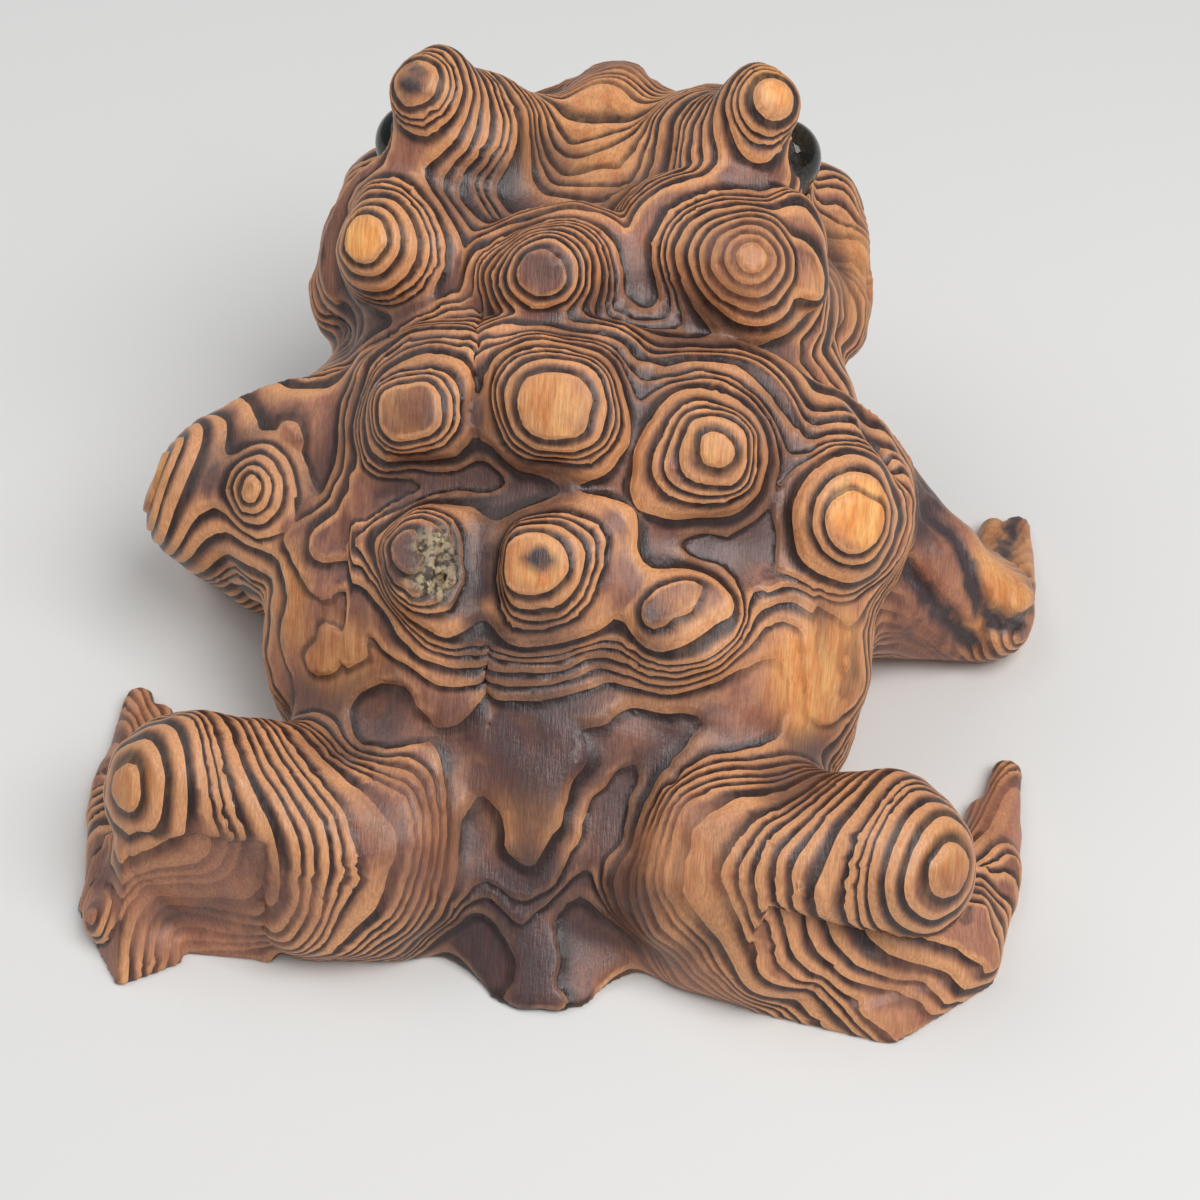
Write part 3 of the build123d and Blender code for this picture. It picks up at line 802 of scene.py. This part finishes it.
def surface_mesh(block):
    """Points and triangles of the block's surface, thinned where it is flat."""
    grid = openvdb.FloatGrid(FAR)
    grid.copyFromArray(np.ascontiguousarray(np.clip(block, -FAR, FAR)))
    points, quads = grid.convertToQuads(0.0)
    points = BLOCK_LOW + points * CELL
    faces = np.concatenate((quads[:, (0, 1, 2)], quads[:, (0, 2, 3)]))
    corners = points[faces]
    volume = np.einsum("ij,ij->", corners[:, 0], np.cross(corners[:, 1], corners[:, 2]))
    points = points + hand_sway(points)[:, None] * face_ways(points, faces) * np.sign(volume)
    raw = bpy.data.meshes.new("raw_carving")
    raw.from_pydata(points.tolist(), [], quads.tolist())
    holder = bpy.data.objects.new("raw_carving", raw)
    bpy.context.collection.objects.link(holder)
    thin = holder.modifiers.new("thin", "DECIMATE")
    thin.ratio = min(1.0, FACE_TARGET / (2 * len(quads)))
    thin.use_collapse_triangulate = True
    graph = bpy.context.evaluated_depsgraph_get()
    made = bpy.data.meshes.new_from_object(holder.evaluated_get(graph))
    made.calc_loop_triangles()
    points = np.empty(3 * len(made.vertices), dtype=np.float32)
    made.vertices.foreach_get("co", points)
    faces = np.empty(3 * len(made.loop_triangles), dtype=np.int32)
    made.loop_triangles.foreach_get("vertices", faces)
    bpy.data.objects.remove(holder)
    bpy.data.meshes.remove(raw)
    bpy.data.meshes.remove(made)
    points = points.reshape(-1, 3).astype(np.float64)
    faces = faces.reshape(-1, 3)
    corners = points[faces]
    volume = np.einsum("ij,ij->", corners[:, 0], np.cross(corners[:, 1], corners[:, 2]))
    return points, faces if volume > 0 else faces[:, ::-1]


def cut_along(points, faces, fields, name, start, keep):
    """Splits triangles along every other whole value of a field, so that steps get clean edges."""
    step = 2.0
    edges = np.sort(np.concatenate((faces[:, (0, 1)], faces[:, (1, 2)], faces[:, (2, 0)])), axis=1)
    edges, back = np.unique(edges, axis=0, return_inverse=True)
    back = back.reshape(3, -1).T
    first, second = edges[:, 0], edges[:, 1]

    def crossings(values):
        slot = (values - start) / step
        on_line = abs(slot - np.round(slot)) < 1e-7
        low = np.floor(slot)
        line = np.maximum(low[first], low[second]) * step + start
        hit = (low[first] != low[second]) & ~on_line[first] & ~on_line[second]
        hit &= keep[first] & keep[second]
        span = np.where(hit, values[second] - values[first], 1)
        return hit, line, np.where(hit, (line - values[first]) / span, 0.5)

    hit, line, share = crossings(fields[name])
    for end, close in ((first, hit & (share < 0.2)), (second, hit & (share > 0.8))):
        index, part = end[close], share[close]
        points[index] = points[first[close]] + part[:, None] * (points[second[close]] - points[first[close]])
        for field in fields.values():
            field[index] = field[first[close]] + part * (field[second[close]] - field[first[close]])
        fields[name][index] = line[close]
    hit, line, share = crossings(fields[name])
    part = share[hit]
    middle = np.full(len(edges), -1)
    middle[hit] = len(points) + np.arange(len(part))
    added = points[first[hit]] + part[:, None] * (points[second[hit]] - points[first[hit]])
    points = np.concatenate((points, added))
    for field in fields:
        values = fields[field]
        between = values[first[hit]] + part * (values[second[hit]] - values[first[hit]])
        fields[field] = np.concatenate((values, line[hit] if field == name else between))
    keep = np.concatenate((keep, np.ones(len(part), dtype=bool)))
    crossed = middle[back] >= 0
    total = crossed.sum(1)
    made = [faces[total == 0]]
    whole = total == 3
    ends, mids = faces[whole], middle[back[whole]]
    made += [mids, *(np.stack((ends[:, turn], mids[:, turn], mids[:, turn - 1]), 1) for turn in range(3))]
    for turn in range(3):
        a, b, c = turn, (turn + 1) % 3, (turn + 2) % 3
        one = (total == 1) & crossed[:, b]
        tip, left, right = faces[one, a], faces[one, b], faces[one, c]
        mid = middle[back[one, b]]
        made += [np.stack((tip, left, mid), 1), np.stack((tip, mid, right), 1)]
        two = (total == 2) & crossed[:, a] & crossed[:, c]
        tip, left, right = faces[two, a], faces[two, b], faces[two, c]
        mid_left, mid_right = middle[back[two, a]], middle[back[two, c]]
        made += [
            np.stack((tip, mid_left, mid_right), 1),
            np.stack((mid_left, left, right), 1),
            np.stack((mid_left, right, mid_right), 1),
        ]
    return points, np.concatenate(made), fields, keep


def face_ways(points, faces):
    """Outward way at each point, from the faces round it."""
    corners = points[faces]
    normals = np.cross(corners[:, 1] - corners[:, 0], corners[:, 2] - corners[:, 0])
    total = np.zeros_like(points)
    for corner in range(3):
        np.add.at(total, faces[:, corner], normals)
    return total / np.maximum(np.linalg.norm(total, axis=1), 1e-9)[:, None]


def mesh_piece(name, points, faces, **fields):
    """A smooth-shaded object in metres, with named values at its points."""
    mesh = bpy.data.meshes.new(name)
    mesh.vertices.add(len(points))
    mesh.vertices.foreach_set("co", (np.asarray(points) * MM).astype(np.float32).ravel())
    mesh.loops.add(3 * len(faces))
    mesh.loops.foreach_set("vertex_index", np.asarray(faces, dtype=np.int32).ravel())
    mesh.polygons.add(len(faces))
    mesh.polygons.foreach_set("loop_start", np.arange(0, 3 * len(faces), 3, dtype=np.int32))
    mesh.polygons.foreach_set("use_smooth", np.ones(len(faces), dtype=bool))
    for field, values in fields.items():
        layer = mesh.attributes.new(field, "FLOAT", "POINT")
        layer.data.foreach_set("value", np.asarray(values, dtype=np.float32))
    mesh.update(calc_edges=True)
    mesh.validate()
    piece = bpy.data.objects.new(name, mesh)
    bpy.context.collection.objects.link(piece)
    return piece


def carving():
    """The carved body: a smooth carving, stepped along its growth rings."""
    block = carve_block()
    # A blurred copy of the block, read below to darken the hollows with painted shade
    soft_block = box_blur(box_blur(np.clip(block, -FAR, FAR), HOLLOW_BLUR), HOLLOW_BLUR)
    points, faces = surface_mesh(block)
    rings = ring_count(points)
    glow = patches(points, [(spot, reach, bright) for spot, _, bright, reach in BULLSEYES])
    glow = np.maximum(glow, patches(points, WORN_PATCHES))
    # Dark spots along the scored grooves, darkening them
    dark_score_spots = [(spot, *SCORE_SPOTS) for line in SCORES for spot in beads(line, SCORE_SPOT_GAP)]
    # Dark patches mixing stains with painted shade in creases and on shaded faces, plus the dark spots along
    # the scored grooves
    stain = patches(points, [*STAINS_AND_SHADE, *dark_score_spots])
    bark = patches(points, BARK_SPOTS)
    plain = patches(points, PLAIN_FACES)
    facing = np.einsum("ij,ij->i", ring_ways(points), face_ways(points, faces))
    slope = np.sqrt(np.clip(1 - facing * facing, 0.0, 1))
    riser = np.clip(RISER_WIDTH * slope / RING_PITCH, *RISER_SHARES)
    fields = {"ring": rings, "lip": rings - riser, "slope": slope}
    fields.update(glow=glow, stain=stain, bark=bark, plain=plain)
    keep = points[:, 2] > TERRACE_HEIGHTS[0]
    for field, start in (("ring", 0.0), ("ring", 1.0), ("lip", 0.0), ("lip", 1.0)):
        points, faces, fields, keep = cut_along(points, faces, fields, field, start, keep)
    ways = face_ways(points, faces)
    out = ring_ways(points)
    facing = np.einsum("ij,ij->i", out, ways)
    rings = fields["ring"]
    riser = np.maximum(rings - fields["lip"], 0.01)
    share = rings - np.floor(rings + 1e-7)
    tread = np.where(share < riser, share / riser * (1 - riser), 1 - share)
    lift = TERRACE * RING_PITCH * (tread - TERRACE_LEVEL)
    lift = lift * ease(*TERRACE_HEIGHTS, points[:, 2]) * (1 - 0.9 * fields["plain"])
    # How deep each point sits in the hollows, used for painted shade there
    hollow = sample(soft_block, points)
    lean = TERRACE_LEAN * out * ease(0.0, 0.4, facing)[:, None] + (1 - TERRACE_LEAN) * ways
    points = points + lift[:, None] * lean
    points[:, 2] = np.maximum(points[:, 2], 0)
    del fields["lip"]
    return mesh_piece("carved_toad", points, faces, hollow=hollow, **fields)


def mottling_group():
    """Shader group that every material uses: noise over the object's own position, turned and stretched."""
    group = bpy.data.node_groups.new("mottling", "ShaderNodeTree")
    for name, kind in (
        ("Turn", "NodeSocketVector"),
        ("Stretch", "NodeSocketVector"),
        ("Detail", "NodeSocketFloat"),
        ("Roughness", "NodeSocketFloat"),
    ):
        group.interface.new_socket(name, in_out="INPUT", socket_type=kind)
    group.interface.new_socket("Shade", in_out="OUTPUT", socket_type="NodeSocketFloat")
    given = group.nodes.new("NodeGroupInput").outputs
    noise = group.nodes.new("ShaderNodeTexNoise")
    noise.inputs["Scale"].default_value = 1.0
    where = group.nodes.new("ShaderNodeTexCoord").outputs["Object"]
    for name, change in (("Turn", "Rotation"), ("Stretch", "Scale")):
        node = group.nodes.new("ShaderNodeMapping")
        group.links.new(where, node.inputs["Vector"])
        group.links.new(given[name], node.inputs[change])
        where = node.outputs["Vector"]
    group.links.new(where, noise.inputs["Vector"])
    for name in ("Detail", "Roughness"):
        group.links.new(given[name], noise.inputs[name])
    shade = group.nodes.new("NodeGroupOutput").inputs["Shade"]
    group.links.new(noise.outputs["Fac"], shade)
    return group


mottling = mottling_group()


class Recipe:
    """A material whose nodes are added one by one."""

    def __init__(self, name):
        self.material = bpy.data.materials.new(name)
        self.material.use_nodes = True
        self.nodes = self.material.node_tree.nodes
        self.links = self.material.node_tree.links
        self.shader = self.nodes["Principled BSDF"]

    def feed(self, socket, given):
        """Gives a socket either a constant or another node's output."""
        if isinstance(given, bpy.types.NodeSocket):
            self.links.new(given, socket)
        else:
            socket.default_value = given

    def finish(self, **inputs):
        """Feeds the shader's sockets, named with underscores for spaces, and returns the material."""
        for name, given in inputs.items():
            self.feed(self.shader.inputs[name.replace("_", " ")], given)
        return self.material

    def attribute(self, name):
        """A named value of the mesh's points."""
        node = self.nodes.new("ShaderNodeAttribute")
        node.attribute_name = name
        return node.outputs["Fac"]

    def maths(self, kind, *given):
        """A sum of the kind named, on constants or outputs."""
        node = self.nodes.new("ShaderNodeMath")
        node.operation = kind
        for socket, value in zip(node.inputs, given):
            self.feed(socket, value)
        return node.outputs["Value"]

    def ramp(self, given, low, high, bottom=0.0, top=1.0):
        """A smooth climb from bottom to top as the value goes from low to high."""
        node = self.nodes.new("ShaderNodeMapRange")
        node.interpolation_type = "SMOOTHSTEP"
        names = ("Value", "From Min", "From Max", "To Min", "To Max")
        for name, value in zip(names, (given, low, high, bottom, top)):
            self.feed(node.inputs[name], value)
        return node.outputs["Result"]

    def blend(self, share, first, second, kind="MIX"):
        """Two colours mixed by a share of the second."""
        node = self.nodes.new("ShaderNodeMix")
        node.data_type = "RGBA"
        node.blend_type = kind
        for index, value in ((0, share), (6, first), (7, second)):
            self.feed(node.inputs[index], value)
        return node.outputs[2]

    def mottle(self, stretch, detail=2.0, rough=0.5, turn=NO_TURN):
        """Noise from the shared group, with values of its own."""
        node = self.nodes.new("ShaderNodeGroup")
        node.node_tree = mottling
        for name, value in (("Turn", turn), ("Stretch", stretch), ("Detail", detail), ("Roughness", rough)):
            node.inputs[name].default_value = value
        return node.outputs["Shade"]

    def bump(self, height, depth, strength):
        """A normal that follows a height, up to a depth in metres."""
        node = self.nodes.new("ShaderNodeBump")
        node.inputs["Strength"].default_value = strength
        node.inputs["Distance"].default_value = depth
        self.links.new(height, node.inputs["Height"])
        return node.outputs["Normal"]


def wood_material():
    """Waxed wood with dark growth-ring lines, worn tops, dark stains, painted shade in its hollows and
    creases, and a patch of bark.
    """
    wood = Recipe("waxed_wood")
    fibres = wood.mottle((4500, 4500, 420), 3.0, 0.6, FIBRE_TURN)
    figure = wood.mottle((700, 700, 160), 3.0, 0.6, FIBRE_TURN)
    clouds = wood.mottle((110, 110, 110))
    specks = wood.mottle((1500, 1500, 1500))

    # A dark line ends each ring and a pale edge begins it, both wider where the rings slope
    share = wood.maths("FRACT", wood.attribute("ring"))
    slope = wood.attribute("slope")
    steep = wood.ramp(slope, 0.10, 0.50)
    clear = wood.maths("MULTIPLY_ADD", wood.attribute("plain"), -0.95, 1.0)
    least, most = LINE_SHARES
    width = wood.maths("MINIMUM", wood.maths("MAXIMUM", slope, least), most)
    start = wood.maths("MULTIPLY_ADD", width, -1.2, 1.0)
    dark = wood.ramp(share, start, wood.maths("MULTIPLY_ADD", width, 0.85, start))
    dark = wood.maths("MULTIPLY", dark, wood.maths("MULTIPLY_ADD", steep, 0.33, 0.64))
    dark = wood.maths("MULTIPLY", dark, wood.ramp(figure, 0.65, 0.40, 0.84, 1.0))
    dark = wood.maths("MULTIPLY", dark, clear)
    light = wood.ramp(share, wood.maths("MULTIPLY", width, 1.3), wood.maths("MULTIPLY", width, 0.2))
    light = wood.maths("MULTIPLY", wood.maths("MULTIPLY", light, steep), clear)

    # Brown wood, orange where it is worn, and dark with stains and with painted shade in the hollows and
    # creases
    brown = wood.blend(wood.ramp(clouds, 0.35, 0.65), DULL_BROWN, BROWN)
    brown = wood.blend(wood.ramp(figure, 0.35, 0.70, 0.0, 0.55), brown, PALE_BROWN)
    orange = wood.blend(wood.ramp(figure, 0.30, 0.70), ORANGE, PALE_ORANGE)
    worn = wood.blend(wood.attribute("glow"), brown, orange)
    # Painted shade in the hollows of the carving
    hollow_shade = wood.ramp(wood.attribute("hollow"), 0.2, -0.9, 0.0, 0.85)
    stain = wood.maths("MAXIMUM", hollow_shade, wood.maths("MULTIPLY", wood.attribute("stain"), 0.95))
    stain = wood.maths("MULTIPLY", stain, wood.ramp(figure, 0.25, 0.6, 0.80, 1.0))
    # One dark colour over both the stains and the painted shade
    stained_and_shaded = wood.blend(stain, worn, STAIN_AND_SHADE)

    # Edges, lines, bark and fibres over it
    light = wood.maths("MULTIPLY", light, wood.maths("MULTIPLY_ADD", stain, -0.95, 1.0))
    ringed = wood.blend(dark, wood.blend(light, stained_and_shaded, PALE_EDGE), RING_LINE)
    bark = wood.attribute("bark")
    barked = wood.blend(bark, ringed, wood.blend(wood.ramp(specks, 0.4, 0.6), BARK, PALE_BARK))
    tone = wood.blend(wood.ramp(fibres, 0.30, 0.70), FIBRE_SHADE, FIBRE_SHEEN)
    rough = wood.ramp(figure, 0.3, 0.7, 0.34, 0.52)
    rough = wood.maths("MULTIPLY_ADD", stain, -0.08, rough)
    rough = wood.maths("MULTIPLY_ADD", bark, 0.3, rough)
    height = wood.maths("ADD", fibres, wood.maths("MULTIPLY", specks, 0.6))
    return wood.finish(
        Base_Color=wood.blend(1.0, barked, tone, "MULTIPLY"),
        Roughness=rough,
        Coat_Weight=0.08,
        Coat_Roughness=0.22,
        Normal=wood.bump(height, 0.00016, 0.55),
    )


def glass_material():
    """Clear glass with faint waves in its face."""
    glass = Recipe("eye_glass")
    waves = glass.mottle((420, 420, 420))
    return glass.finish(
        Base_Color=GLASS,
        Roughness=glass.ramp(waves, 0.3, 0.7, 0.01, 0.05),
        IOR=1.5,
        Transmission_Weight=1.0,
        Normal=glass.bump(waves, 0.0001, 0.25),
    )


def iris_material():
    """Mottled olive-gold paint."""
    paint = Recipe("iris_paint")
    flecks = paint.mottle((1400, 1400, 1400), 4.0, 0.65)
    return paint.finish(
        Base_Color=paint.blend(paint.ramp(flecks, 0.35, 0.65), *IRIS),
        Roughness=paint.ramp(flecks, 0.3, 0.7, 0.28, 0.45),
        Metallic=0.35,
        Normal=paint.bump(flecks, 0.0001, 0.4),
    )


def black_material(name, colours, rough, depth):
    """Black paint or pitch, uneven in tone, gloss and surface."""
    black = Recipe(name)
    lumps = black.mottle((900, 900, 900), 4.0, 0.6)
    return black.finish(
        Base_Color=black.blend(black.ramp(lumps, 0.35, 0.65), *colours),
        Roughness=black.ramp(lumps, 0.3, 0.7, rough, rough + 0.2),
        Normal=black.bump(lumps, depth, 0.6),
    )


def light_and_floor():
    """Pale floor, soft studio light and the camera at the photograph's angle."""
    scene = bpy.context.scene
    scene.view_settings.view_transform = "Standard"
    bpy.ops.mesh.primitive_plane_add(size=FLOOR_SIZE, location=(0, 0, 0))
    floor = bpy.context.object
    floor.name = "floor"
    paint = bpy.data.materials.new("pale_floor")
    paint.use_nodes = True
    shader = paint.node_tree.nodes["Principled BSDF"]
    shader.inputs["Base Color"].default_value = FLOOR_COLOUR
    shader.inputs["Roughness"].default_value = FLOOR_ROUGHNESS
    floor.data.materials.append(paint)
    world = bpy.data.worlds.new("studio")
    scene.world = world
    world.use_nodes = True
    sky = world.node_tree.nodes["Background"]
    sky.inputs["Color"].default_value = SKY_COLOUR
    sky.inputs["Strength"].default_value = SKY_STRENGTH
    for name, spot, size, power in LIGHTS:
        lamp = bpy.data.lights.new(name, "AREA")
        lamp.size = size
        lamp.energy = power
        holder = bpy.data.objects.new(name, lamp)
        holder.location = spot
        holder.rotation_mode = "QUATERNION"
        holder.rotation_quaternion = Vector(spot).to_track_quat("Z", "Y")
        bpy.context.collection.objects.link(holder)
    view = bpy.data.cameras.new("camera")
    view.lens = HALF_SENSOR / math.tan(math.radians(VIEW_HALF_ANGLE))
    view.clip_start = 0.01
    camera = bpy.data.objects.new("camera", view)
    azimuth, elevation = math.radians(VIEW_AZIMUTH), math.radians(VIEW_ELEVATION)
    back = Vector((
        math.sin(azimuth) * math.cos(elevation),
        -math.cos(azimuth) * math.cos(elevation),
        math.sin(elevation),
    ))
    camera.location = Vector(VIEW_TARGET) * MM + back * VIEW_DISTANCE * MM
    camera.rotation_mode = "QUATERNION"
    camera.rotation_quaternion = (-back).to_track_quat("-Z", "Y")
    bpy.context.collection.objects.link(camera)
    scene.camera = camera


light_and_floor()
toad = carving()
toad.data.materials.append(wood_material())
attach(toad, "root")
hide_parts("carved_body")

eye_materials = {
    "eye_lens": glass_material(),
    "eye_iris": iris_material(),
    "eye_pupil": black_material("pupil_paint", PUPIL, 0.15, 0.00005),
    "eye_bed": black_material("eye_pitch", PITCH, 0.22, 0.0003),
}
for side in ("left", "right"):
    for part_name, material in eye_materials.items():
        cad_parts[f"{side}_{part_name}"].material_slots[0].material = material
